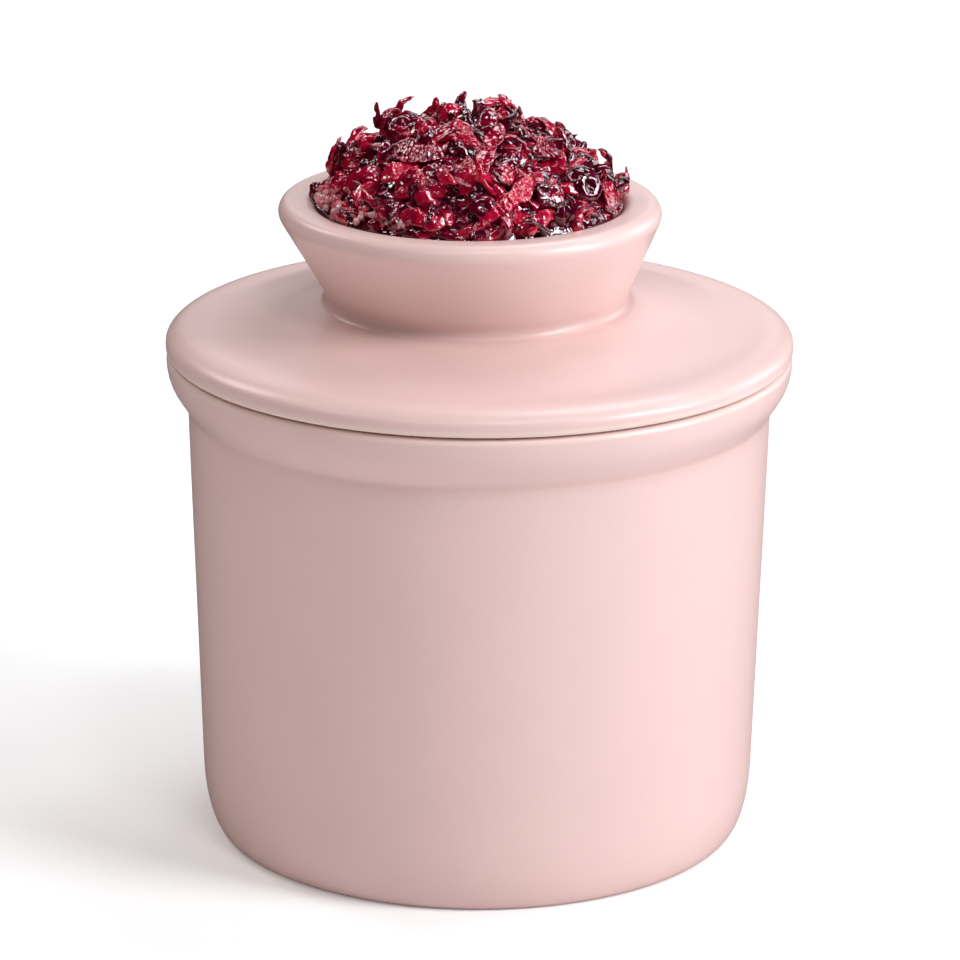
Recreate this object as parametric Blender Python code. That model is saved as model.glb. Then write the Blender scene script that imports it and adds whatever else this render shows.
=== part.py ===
"""Butter crock: a stoneware pot, a lid whose bell hangs inside it, and jam heaped in the lid's hollow handle.

Lengths are in metres and +Z is up. The origin is the middle of the base, on the surface the crock stands on.
"""

import math

import bmesh
import bpy
from mathutils import Vector, noise

# Pot
POT_HEIGHT = 0.0833  # from the foot to the rim
POT_RADIUS = 0.0489  # outside of the wall, just under the collar
POT_TAPER = 0.0024  # how much narrower the wall is at the base
WALL_BELLY = 0.0002  # how far the wall's middle is pulled out of straight
POT_WALL = 0.0045
POT_FLOOR = 0.0050
BASE_CORNER_WIDTH = 0.0031  # the soft corner at the base, inwards
BASE_CORNER_HEIGHT = 0.0110  # and upwards
FOOT_WIDTH = 0.0040  # the flat ring that the pot stands on
FOOT_RECESS = 0.0010  # the hollow inside that ring
INNER_CORNER = 0.0080  # where the inside wall meets the floor

# Collar round the pot's rim
COLLAR_HEIGHT = 0.0091  # how far down from the rim it starts
COLLAR_REACH = 0.0035  # how far out of the wall it stands
COLLAR_SLOPE_HEIGHT = 0.0052  # its sloping lower part
COLLAR_SWELL = 0.0090  # radius between the slope and the upright part
COLLAR_ROOT = 0.0015  # radius between the wall and the slope
RIM_OUTER_ROUND = 0.0011
RIM_INNER_ROUND = 0.0015

# Lid plate
SEAT_GAP = 0.0003  # between the rim and the lid
LID_OVERHANG = 0.0001  # how far the lid stands out past the collar
LID_EDGE_HEIGHT = 0.0042
LID_EDGE_LOW_ROUND = 0.0008
LID_EDGE_TOP_WIDTH = 0.0053  # the soft upper edge, inwards
LID_EDGE_TOP_DROP = 0.0027  # and downwards
LID_LEVEL_WIDTH = 0.0026  # the level ring inside the soft edge
LID_DISH_ROUND = 0.0200  # where that ring turns up into the slope
LID_RISE = 0.0043  # how far the slope climbs to the handle

# Butter bell under the lid
BELL_TO_WALL = 0.0058  # water gap between the bell and the pot's wall
BELL_TO_FLOOR = 0.0170  # between the bell's lip and the pot's floor
BELL_WALL = 0.0042
BELL_INNER_CORNER = 0.0080
BELL_ROOT_ROUND = 0.0020

# Hollow handle on the lid
HANDLE_HEIGHT = 0.0171  # above the lid's top
NECK_RADIUS = 0.0245  # where the handle's slope meets the lid
HANDLE_FLARE = 0.0087  # how much wider it is at the rim
NECK_ROUND = 0.0016
HANDLE_RIM_WIDTH = 0.0072
HANDLE_RIM_ROUND = 0.0021
HANDLE_WALL = 0.0040  # at the neck
HANDLE_LEAN = 0.089  # sideways lean towards -X for each unit of height
WELL_DEPTH = 0.0167
WELL_FLOOR = 0.0060  # thickness between the well and the bell
WELL_CORNER = 0.0050

# Jam
JAM_GAP = 0.0003  # to the well's wall and floor
JAM_HEAP = 0.0168  # how far the heap rises over the handle's rim
JAM_EDGE_DROP = 0.0008  # how far its edge lies below the rim
JAM_FULLNESS = 2.2  # the power of the heap's outline: 2 is a parabola, more is fuller
JAM_PEAK_SHIFT = 0.0020  # the peak lies this far towards -X
JAM_LUMP = 0.0011  # height of the lumps on it
JAM_LUMP_SIZE = 0.0070

# Facets
SEGMENTS = 64  # round each turned piece
JAM_SEGMENTS = 48
JAM_RINGS = 12
ARC_STEP = math.radians(20)
MERGE = 1e-6
SHARP_ANGLE = math.radians(35)

# Worked out from the sizes above
COLLAR_START = POT_HEIGHT - COLLAR_HEIGHT
LID_SEAT = POT_HEIGHT + SEAT_GAP
LID_RADIUS = POT_RADIUS + COLLAR_REACH + LID_OVERHANG
NECK_LEVEL = LID_EDGE_HEIGHT + LID_RISE
HANDLE_TOP = NECK_LEVEL + HANDLE_HEIGHT
HANDLE_RADIUS = NECK_RADIUS + HANDLE_FLARE
MOUTH_RADIUS = HANDLE_RADIUS - HANDLE_RIM_WIDTH
WELL_RADIUS = NECK_RADIUS - HANDLE_WALL
WELL_LEVEL = HANDLE_TOP - WELL_DEPTH
BELL_CEILING = WELL_LEVEL - WELL_FLOOR
BELL_LIP = POT_FLOOR + BELL_TO_FLOOR - LID_SEAT


def wall_radius(height):
    """Outside radius of the pot's wall at a height over the base."""
    above_corner = (height - BASE_CORNER_HEIGHT) / (COLLAR_START - BASE_CORNER_HEIGHT)
    return POT_RADIUS - POT_TAPER * (1 - above_corner)


def bell_radius(height):
    """Outside radius of the bell at a height over the pot's base."""
    return wall_radius(height) - POT_WALL - BELL_TO_WALL


def outline(corners):
    """The points of an outline in (radius, height), with its corners rounded.

    A corner is (radius, height), or has a third value: the radius of its round, or how far a round reaches back
    along the line before it and on along the line after it. Rounds that would meet on a line shrink to fit it.
    """
    spots = [Vector(corner[:2]) for corner in corners]
    lines = [end - start for start, end in zip(spots, spots[1:])]
    turns = [0] + [a.angle(b) for a, b in zip(lines, lines[1:])] + [0]
    reaches = [reach(corner, turn) for corner, turn in zip(corners, turns)]
    room = [1]
    for line, near, far in zip(lines, reaches, reaches[1:]):
        room.append(min(1, line.length / max(near[1] + far[0], MERGE)))
    room.append(1)
    points = []
    for index, spot in enumerate(spots):
        back, on = (side * min(room[index : index + 2]) for side in reaches[index])
        if back == 0:
            points.append(spot)
            continue
        start = spot - lines[index - 1].normalized() * back
        end = spot + lines[index].normalized() * on
        points.extend(arc(start, spot, end, turns[index]))
    return [p for i, p in enumerate(points) if i == 0 or (p - points[i - 1]).length > MERGE]


def reach(corner, turn):
    """How far a corner's round reaches back and on from it."""
    if len(corner) == 2:
        return (0, 0)
    if isinstance(corner[2], tuple):
        return corner[2]
    return (corner[2] * math.tan(turn / 2),) * 2


def arc(start, corner, end, turn):
    """Points on the round that leaves start and reaches end, both aimed at the corner between them."""
    steps = max(2, math.ceil(turn / ARC_STEP))
    pull = math.cos(turn / 2)
    points = []
    for index in range(steps + 1):
        t = index / steps
        weights = ((1 - t) ** 2, 2 * t * (1 - t) * pull, t**2)
        blended = start * weights[0] + corner * weights[1] + end * weights[2]
        points.append(blended / sum(weights))
    return points


def turned(points, segments):
    """A mesh in the round, from an outline that starts and ends on the axis."""
    mesh = bmesh.new()
    profile = [mesh.verts.new((radius, 0, height)) for radius, height in points]
    edges = [mesh.edges.new(pair) for pair in zip(profile, profile[1:])]
    bmesh.ops.spin(
        mesh,
        geom=profile + edges,
        cent=(0, 0, 0),
        axis=(0, 0, 1),
        angle=math.tau,
        steps=segments,
        use_merge=True,
    )
    bmesh.ops.remove_doubles(mesh, verts=mesh.verts, dist=MERGE)
    return mesh


def lean(mesh, above):
    """Leans what lies above a level of the lid towards -X, as the handle and what is in it do."""
    for vertex in mesh.verts:
        vertex.co.x -= HANDLE_LEAN * max(0, vertex.co.z - above)


def finish(name, colour, roughness):
    """A plain dielectric material."""
    material = bpy.data.materials.new(name)
    material.use_nodes = True
    shader = material.node_tree.nodes["Principled BSDF"]
    shader.inputs["Base Color"].default_value = (*colour, 1)
    shader.inputs["Roughness"].default_value = roughness
    shader.inputs["Metallic"].default_value = 0
    return material


def node(name, mesh, material, place, parent):
    """Makes a named object of a mesh, at its place under its parent."""
    bmesh.ops.recalc_face_normals(mesh, faces=mesh.faces)
    data = bpy.data.meshes.new(name)
    mesh.to_mesh(data)
    mesh.free()
    data.shade_smooth()
    data.set_sharp_from_angle(angle=SHARP_ANGLE)
    data.materials.append(material)
    made = bpy.data.objects.new(name, data)
    bpy.context.scene.collection.objects.link(made)
    made.parent = parent
    made.location = place
    return made


def crock_pot(parent):
    """The pot: recessed foot, soft base corner, tapered wall, and a collar round its flat rim."""
    foot = wall_radius(BASE_CORNER_HEIGHT) - BASE_CORNER_WIDTH
    base = wall_radius(BASE_CORNER_HEIGHT)
    middle = (BASE_CORNER_HEIGHT + COLLAR_START) / 2
    belly_reach = (COLLAR_START - BASE_CORNER_HEIGHT) / 4
    collar = POT_RADIUS + COLLAR_REACH
    bore = wall_radius(POT_HEIGHT) - POT_WALL
    inner_base = wall_radius(POT_FLOOR) - POT_WALL
    points = outline(
        [
            (0, FOOT_RECESS),
            (foot - FOOT_WIDTH - FOOT_RECESS, FOOT_RECESS, FOOT_RECESS / 2),
            (foot - FOOT_WIDTH, 0),
            (foot, 0),
            (base, 0, (BASE_CORNER_WIDTH, BASE_CORNER_HEIGHT)),
            (wall_radius(middle) + WALL_BELLY, middle, (belly_reach, belly_reach)),
            (POT_RADIUS, COLLAR_START, COLLAR_ROOT),
            (collar, COLLAR_START + COLLAR_SLOPE_HEIGHT, COLLAR_SWELL),
            (collar, POT_HEIGHT, RIM_OUTER_ROUND),
            (bore, POT_HEIGHT, RIM_INNER_ROUND),
            (inner_base, POT_FLOOR, INNER_CORNER),
            (0, POT_FLOOR),
        ]
    )
    glaze = finish("pot_glaze", (0.75, 0.53, 0.50), 0.35)
    return node("crock_pot", turned(points, SEGMENTS), glaze, (0, 0, 0), parent)


def bell_lid(parent):
    """The lid: the butter bell, the plate that rests on the rim, and the hollow handle, all one piece.

    Heights are over the plate's underside, which is the lid's own origin.
    """
    root = bell_radius(LID_SEAT)
    lip = bell_radius(BELL_LIP + LID_SEAT)
    points = outline(
        [
            (0, BELL_CEILING),
            (root - BELL_WALL, BELL_CEILING, BELL_INNER_CORNER),
            (lip - BELL_WALL, BELL_LIP, BELL_WALL / 2),
            (lip, BELL_LIP, BELL_WALL / 2),
            (root, 0, BELL_ROOT_ROUND),
            (LID_RADIUS, 0, LID_EDGE_LOW_ROUND),
            (LID_RADIUS, LID_EDGE_HEIGHT, (LID_EDGE_TOP_DROP, LID_EDGE_TOP_WIDTH)),
            (LID_RADIUS - LID_EDGE_TOP_WIDTH - LID_LEVEL_WIDTH, LID_EDGE_HEIGHT, LID_DISH_ROUND),
            (NECK_RADIUS, NECK_LEVEL, NECK_ROUND),
            (HANDLE_RADIUS, HANDLE_TOP, HANDLE_RIM_ROUND),
            (MOUTH_RADIUS, HANDLE_TOP, HANDLE_RIM_ROUND),
            (WELL_RADIUS, WELL_LEVEL, WELL_CORNER),
            (0, WELL_LEVEL),
        ]
    )
    mesh = turned(points, SEGMENTS)
    lean(mesh, LID_EDGE_HEIGHT)
    glaze = finish("lid_glaze", (0.75, 0.53, 0.50), 0.35)
    return node("bell_lid", mesh, glaze, (0, 0, LID_SEAT), parent)


def heap_height(x, y, radius):
    """How high the heap stands over the jam's edge at a point, before its lumps."""
    towards_edge = math.hypot(x, y) / radius
    x_from_peak = x + JAM_PEAK_SHIFT * (1 - towards_edge)
    away = min(1, math.hypot(x_from_peak, y) / radius)
    return (JAM_HEAP + JAM_EDGE_DROP) * (1 - away**JAM_FULLNESS)


def jam_heap(lid):
    """The jam: a plug that follows the well, and a lumpy heap over it.

    Heights are over the well's floor, which is the jam's own origin.
    """
    edge = WELL_DEPTH - JAM_EDGE_DROP
    slope = (MOUTH_RADIUS - WELL_RADIUS) / WELL_DEPTH
    edge_radius = WELL_RADIUS + slope * edge - JAM_GAP
    rings = [i / JAM_RINGS for i in range(1, JAM_RINGS + 1)]
    points = outline(
        [
            (0, JAM_GAP),
            (WELL_RADIUS - JAM_GAP, JAM_GAP, WELL_CORNER - JAM_GAP),
            (edge_radius, edge),
        ]
    )
    points += [Vector((edge_radius * (1 - share), edge)) for share in rings]
    mesh = turned(points, JAM_SEGMENTS)
    for vertex in mesh.verts:
        at = vertex.co
        if at.z < edge - MERGE:
            continue
        cover = heap_height(at.x, at.y, edge_radius) / JAM_HEAP
        lump = noise.noise(Vector((at.x, at.y, 0)) / JAM_LUMP_SIZE)
        at.z += cover * JAM_HEAP + JAM_LUMP * lump * min(1, 2 * cover)
    lean(mesh, LID_EDGE_HEIGHT - WELL_LEVEL)
    fruit = finish("jam", (0.30, 0.01, 0.03), 0.15)
    return node("jam_heap", mesh, fruit, (0, 0, WELL_LEVEL), lid)


def main():
    """Clears the scene and builds the crock under one empty."""
    for old in list(bpy.data.objects):
        bpy.data.objects.remove(old)
    crock = bpy.data.objects.new("butter_crock", None)
    bpy.context.scene.collection.objects.link(crock)
    crock_pot(crock)
    lid = bell_lid(crock)
    jam_heap(lid)


main()
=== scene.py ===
"""Looks of the butter crock: glazed stoneware and glossy jam in a pale studio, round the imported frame."""

import logging
import math
import random
from dataclasses import dataclass, field
from enum import Enum
from typing import Any

import bmesh
import bpy
from mathutils import Matrix, Vector, noise
from mathutils.kdtree import KDTree


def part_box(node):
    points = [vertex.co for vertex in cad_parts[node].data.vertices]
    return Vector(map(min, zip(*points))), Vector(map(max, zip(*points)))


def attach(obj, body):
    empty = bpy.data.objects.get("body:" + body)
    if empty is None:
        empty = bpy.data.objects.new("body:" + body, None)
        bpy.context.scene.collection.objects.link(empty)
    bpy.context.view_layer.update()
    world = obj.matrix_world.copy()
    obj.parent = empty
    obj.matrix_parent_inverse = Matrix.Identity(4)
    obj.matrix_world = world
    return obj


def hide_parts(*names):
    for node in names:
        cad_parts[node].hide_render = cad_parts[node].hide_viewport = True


log = logging.getLogger("butter_crock")

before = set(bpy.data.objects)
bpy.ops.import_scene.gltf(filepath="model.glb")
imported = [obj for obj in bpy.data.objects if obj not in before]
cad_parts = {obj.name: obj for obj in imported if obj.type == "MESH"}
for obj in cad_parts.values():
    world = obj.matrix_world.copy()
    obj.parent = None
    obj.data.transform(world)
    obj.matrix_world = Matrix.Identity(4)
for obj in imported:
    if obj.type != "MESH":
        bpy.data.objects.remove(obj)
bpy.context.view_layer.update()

MERGE = 1e-6  # metres; closer points are one point
NOISE_RANGE = (0.3, 0.7)  # most of what a noise gives lies between these


class Body(Enum):
    """The moving bodies that a piece can ride on."""

    POT = "pot"
    LID = "lid"
    JAM = "jam"


class Tone(Enum):
    """The colours of the studio's light."""

    WINDOW = (0.94, 1.0, 1.05)
    ROOM = (1.0, 0.97, 0.95)


class Graph:
    """A node tree being built, with short ways to add, set and join its nodes."""

    def __init__(self, tree: bpy.types.NodeTree) -> None:
        """Keeps the tree to build in."""
        self.tree = tree

    def node(self, kind: str, inputs: dict[Any, Any] | None = None, **settings: Any) -> bpy.types.Node:
        """Adds a node.

        Args:
            kind: the node's type name.
            inputs: for each input, by name or number, a value or the output that feeds it.
            settings: the node's own settings.

        Returns:
            The new node.
        """
        made = self.tree.nodes.new(kind)
        for name, value in settings.items():
            setattr(made, name, value)
        for key, value in (inputs or {}).items():
            if isinstance(value, bpy.types.NodeSocket):
                self.tree.links.new(value, made.inputs[key])
            else:
                made.inputs[key].default_value = value
        return made

    def math(
        self, operation: str, first: Any, second: Any = 0.0, clamp: bool = False
    ) -> bpy.types.NodeSocket:
        """Adds a number operation.

        Args:
            operation: the name of the operation.
            first: a number, or the output that gives it.
            second: the same for the second number.
            clamp: whether the result is kept from 0 to 1.

        Returns:
            The output with the result.
        """
        inputs = {0: first, 1: second}
        return self.node("ShaderNodeMath", inputs, operation=operation, use_clamp=clamp).outputs[0]

    def vector(self, operation: str, first: Any, second: Any = (0, 0, 0)) -> bpy.types.NodeSocket:
        """Adds a vector operation.

        Args:
            operation: the name of the operation.
            first: a vector, or the output that gives it.
            second: the same for the second vector, or a number where SCALE takes one.

        Returns:
            The output with the resulting vector.
        """
        inputs = {0: first, "Scale": second} if operation == "SCALE" else {0: first, 1: second}
        return self.node("ShaderNodeVectorMath", inputs, operation=operation).outputs[0]

    def blend(self, share: Any, first: Any, second: Any) -> bpy.types.NodeSocket:
        """Adds a mix of two colours.

        Args:
            share: how much of the second colour there is.
            first: a colour, or the output that gives it.
            second: the same for the second colour.

        Returns:
            The output with the mixed colour.
        """
        mix = self.node("ShaderNodeMix", {0: share, 6: first, 7: second}, data_type="RGBA")
        return mix.outputs[2]

    def cloud(
        self, place: Any, size: float, detail: float, distortion: float = 0.0
    ) -> bpy.types.NodeSocket:
        """Adds a noise.

        Args:
            place: the output that gives the place.
            size: how wide its patches are, in metres.
            detail: how much finer noise it holds.
            distortion: how far it is swirled.

        Returns:
            The output with a number from 0 to 1.
        """
        inputs = {"Vector": place, "Scale": 1 / size, "Detail": detail, "Distortion": distortion}
        return self.node("ShaderNodeTexNoise", inputs).outputs["Fac"]

    def spread(
        self, value: Any, low: float, high: float, to_low: float, to_high: float
    ) -> bpy.types.NodeSocket:
        """Adds a change of range.

        Args:
            value: the output to change.
            low: the value that becomes to_low.
            high: the value that becomes to_high.
            to_low: one end of the new range.
            to_high: the other end.

        Returns:
            The output with the changed value.
        """
        inputs = {"Value": value, "From Min": low, "From Max": high, "To Min": to_low, "To Max": to_high}
        return self.node("ShaderNodeMapRange", inputs).outputs["Result"]


def rgba(colour: tuple[float, float, float]) -> tuple[float, float, float, float]:
    """A colour with full opacity."""
    return (*colour, 1.0)


class Outline:
    """A turned piece's outline, from the axis round the piece and back to the axis, with rounded corners."""

    ARC_STEP = math.radians(7)
    FEWEST_STEPS = 3  # on a round
    TIGHT = 1000.0  # a bend of this many turns per metre counts in full
    SMOOTHING = 0.0004  # metres over which the bend is averaged

    def __init__(self, corners: list[tuple], spacing: float = 0.0025) -> None:
        """Rounds the corners.

        Args:
            corners: each is (radius, height), or has a third value: the radius of its round, or how far a
                round reaches back along the line before it and on along the line after it.
            spacing: the most there may be between two points on a straight stretch.
        """
        spots = [Vector(corner[:2]) for corner in corners]
        lines = [end - start for start, end in zip(spots, spots[1:])]
        turns = [0.0] + [a.angle(b) for a, b in zip(lines, lines[1:])] + [0.0]
        reaches = [self.reach(corner, turn) for corner, turn in zip(corners, turns)]
        room = [1.0]
        for line, near, far in zip(lines, reaches, reaches[1:]):
            room.append(min(1.0, line.length / max(near[1] + far[0], MERGE)))
        room.append(1.0)
        points: list[Vector] = []
        for index, spot in enumerate(spots):
            back, on = (side * min(room[index : index + 2]) for side in reaches[index])
            if back == 0:
                points.append(spot)
                continue
            start = spot - lines[index - 1].normalized() * back
            end = spot + lines[index].normalized() * on
            points.extend(self.arc(start, spot, end, turns[index]))
        self.points = self.filled(points, spacing)

    @staticmethod
    def reach(corner: tuple, turn: float) -> tuple[float, float]:
        """How far a corner's round reaches.

        Args:
            corner: the corner, as the outline is given it.
            turn: the angle by which the outline turns there.

        Returns:
            How far it reaches back along the line before it, and on along the line after it.
        """
        if len(corner) == 2:
            return (0.0, 0.0)
        if isinstance(corner[2], tuple):
            return corner[2]
        return (corner[2] * math.tan(turn / 2),) * 2

    @classmethod
    def arc(cls, start: Vector, corner: Vector, end: Vector, turn: float) -> list[Vector]:
        """Points on a round.

        Args:
            start: where it begins.
            corner: the point that both of its ends aim at.
            end: where it ends.
            turn: the angle it turns through.

        Returns:
            The points, with both ends.
        """
        steps = max(cls.FEWEST_STEPS, math.ceil(turn / cls.ARC_STEP))
        pull = math.cos(turn / 2)
        points = []
        for index in range(steps + 1):
            t = index / steps
            weights = ((1 - t) ** 2, 2 * t * (1 - t) * pull, t**2)
            blended = start * weights[0] + corner * weights[1] + end * weights[2]
            points.append(blended / sum(weights))
        return points

    @staticmethod
    def filled(points: list[Vector], spacing: float) -> list[Vector]:
        """Drops doubles and divides long straight stretches.

        Args:
            points: the outline's points.
            spacing: the most there may be between two of them.

        Returns:
            The new points.
        """
        kept = [points[0]]
        for point in points[1:]:
            step = point - kept[-1]
            if step.length < MERGE:
                continue
            parts = math.ceil(step.length / spacing)
            start = kept[-1].copy()
            kept.extend(start + step * (index / parts) for index in range(1, parts + 1))
        return kept

    def bends(self) -> list[float]:
        """How the outline bends at each point, a little smoothed.

        Returns:
            A number for each point, from -1 at a tight outer edge to 1 in a tight hollow.
        """
        sharp = [0.0]
        for before, here, after in zip(self.points, self.points[1:], self.points[2:]):
            a, b = here - before, after - here
            turn = math.atan2(a.x * b.y - a.y * b.x, a.dot(b))
            sharp.append(-turn / ((a.length + b.length) / 2))
        sharp.append(0.0)
        along = [0.0]
        for a, b in zip(self.points, self.points[1:]):
            along.append(along[-1] + (b - a).length)
        found = []
        for here in along:
            weights = [math.exp(-(((here - there) / self.SMOOTHING) ** 2)) for there in along]
            mean = sum(w * s for w, s in zip(weights, sharp)) / sum(weights)
            found.append(max(-1.0, min(1.0, mean / self.TIGHT)))
        return found

    def mesh(self, name: str) -> bpy.types.Mesh:
        """The outline as a line of points in the XZ plane.

        Args:
            name: the mesh's name.

        Returns:
            The mesh, with its bends stored in an attribute.
        """
        line = bpy.data.meshes.new(name)
        edges = [(index, index + 1) for index in range(len(self.points) - 1)]
        line.from_pydata([(p.x, 0.0, p.y) for p in self.points], edges, [])
        bend = line.attributes.new("bend", "FLOAT", "POINT")
        bend.data.foreach_set("value", self.bends())
        return line


class NodeShape:
    """A Geometry Nodes tree with named inputs, and how to run it on an object and keep the plain result."""

    CREASE_DETAIL = 2.0
    CREASE_ROUGHNESS = 0.6
    ROUND_START = -0.0022  # height over the rim, in metres, at which the mouth starts to round outwards
    ROUND_END = 0.0004  # and at which it has done so
    ROUND_REACH = 0.0016  # how much wider the mouth is there

    def __init__(self, name: str, inputs: dict[str, tuple[str, Any]]) -> None:
        """Starts the tree.

        Args:
            name: the tree's name.
            inputs: for each input's name, its socket type and its value to start with.
        """
        self.tree = bpy.data.node_groups.new(name, "GeometryNodeTree")
        self.tree.interface.new_socket("Geometry", in_out="INPUT", socket_type="NodeSocketGeometry")
        self.tree.interface.new_socket("Geometry", in_out="OUTPUT", socket_type="NodeSocketGeometry")
        for label, (kind, value) in inputs.items():
            socket = self.tree.interface.new_socket(label, in_out="INPUT", socket_type=kind)
            if value is not None:
                socket.default_value = value
        self.graph = Graph(self.tree)
        self.inputs = self.graph.node("NodeGroupInput").outputs

    def end(self, geometry: bpy.types.NodeSocket, material: bpy.types.NodeSocket) -> None:
        """Ends the tree: real geometry, smooth faces and the material.

        Args:
            geometry: what the tree has made.
            material: the output that gives the material.
        """
        graph = self.graph
        real = graph.node("GeometryNodeRealizeInstances", {"Geometry": geometry})
        smooth = graph.node("GeometryNodeSetShadeSmooth", {"Geometry": real.outputs[0]})
        dressed = graph.node("GeometryNodeSetMaterial", {"Geometry": smooth.outputs[0], "Material": material})
        graph.node("NodeGroupOutput", {"Geometry": dressed.outputs[0]})

    def crumpled(self, geometry: Any, amount: Any, size: Any, change: Any) -> bpy.types.NodeSocket:
        """Pushes points about by noise.

        Args:
            geometry: the output with what to crumple.
            amount: how far a point may move, in metres.
            size: how wide a crease is, in metres.
            change: a number that gives each piece creases of its own.

        Returns:
            The output with the crumpled geometry.
        """
        graph = self.graph
        place = graph.node("GeometryNodeInputPosition").outputs[0]
        scale = graph.math("DIVIDE", 1.0, size)
        creases = graph.node(
            "ShaderNodeTexNoise",
            {
                "Vector": place,
                "W": change,
                "Scale": scale,
                "Detail": self.CREASE_DETAIL,
                "Roughness": self.CREASE_ROUGHNESS,
            },
            noise_dimensions="4D",
        )
        centred = graph.vector("SUBTRACT", creases.outputs["Color"], (0.5, 0.5, 0.5))
        offset = graph.vector("SCALE", centred, graph.math("MULTIPLY", amount, 2.0))
        return graph.node("GeometryNodeSetPosition", {"Geometry": geometry, "Offset": offset}).outputs[0]

    def held(self, geometry: Any, axis: Any, rim: Any, mouth: Any, top: Any) -> bpy.types.NodeSocket:
        """Holds points inside the handle's mouth, above its rim and under the highest point allowed.

        Args:
            geometry: the output with what to hold.
            axis: the place in X of the mouth's middle.
            rim: the height of the handle's rim.
            mouth: the radius that is free below the rim.
            top: the highest that a point may be.

        Returns:
            The output with the held geometry.
        """
        graph = self.graph
        place = graph.node("GeometryNodeInputPosition").outputs[0]
        parts = graph.node("ShaderNodeSeparateXYZ", {0: place}).outputs
        across = graph.math("SUBTRACT", parts["X"], axis)
        across_squared = graph.math("MULTIPLY", across, across)
        deep_squared = graph.math("MULTIPLY", parts["Y"], parts["Y"])
        squares = graph.math("ADD", across_squared, deep_squared)
        radius = graph.math("MAXIMUM", graph.math("SQRT", squares), MERGE)
        above = graph.math("SUBTRACT", parts["Z"], rim)
        wider = graph.spread(above, self.ROUND_START, self.ROUND_END, 0.0, self.ROUND_REACH)
        room = graph.math("ADD", mouth, wider)
        pull = graph.math("MINIMUM", graph.math("DIVIDE", room, radius), 1.0)
        x = graph.math("ADD", graph.math("MULTIPLY", across, pull), axis)
        y = graph.math("MULTIPLY", parts["Y"], pull)
        z = graph.math("MINIMUM", parts["Z"], top)
        spot = graph.node("ShaderNodeCombineXYZ", {"X": x, "Y": y, "Z": z})
        inputs = {"Geometry": geometry, "Position": spot.outputs[0]}
        return graph.node("GeometryNodeSetPosition", inputs).outputs[0]

    def run(self, target: bpy.types.Object, values: dict[str, Any]) -> bpy.types.Object:
        """Runs the tree on an object and keeps the result as its plain mesh.

        Args:
            target: the object whose mesh goes in.
            values: the inputs to set, by name.

        Returns:
            The same object.
        """
        modifier = target.modifiers.new(self.tree.name, "NODES")
        modifier.node_group = self.tree
        for item in self.tree.interface.items_tree:
            if item.name in values:
                modifier[item.identifier] = values[item.name]
        graph = bpy.context.evaluated_depsgraph_get()
        result = bpy.data.meshes.new_from_object(target.evaluated_get(graph), depsgraph=graph)
        target.modifiers.remove(modifier)
        result.name = target.name
        target.data = result
        return target


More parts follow.
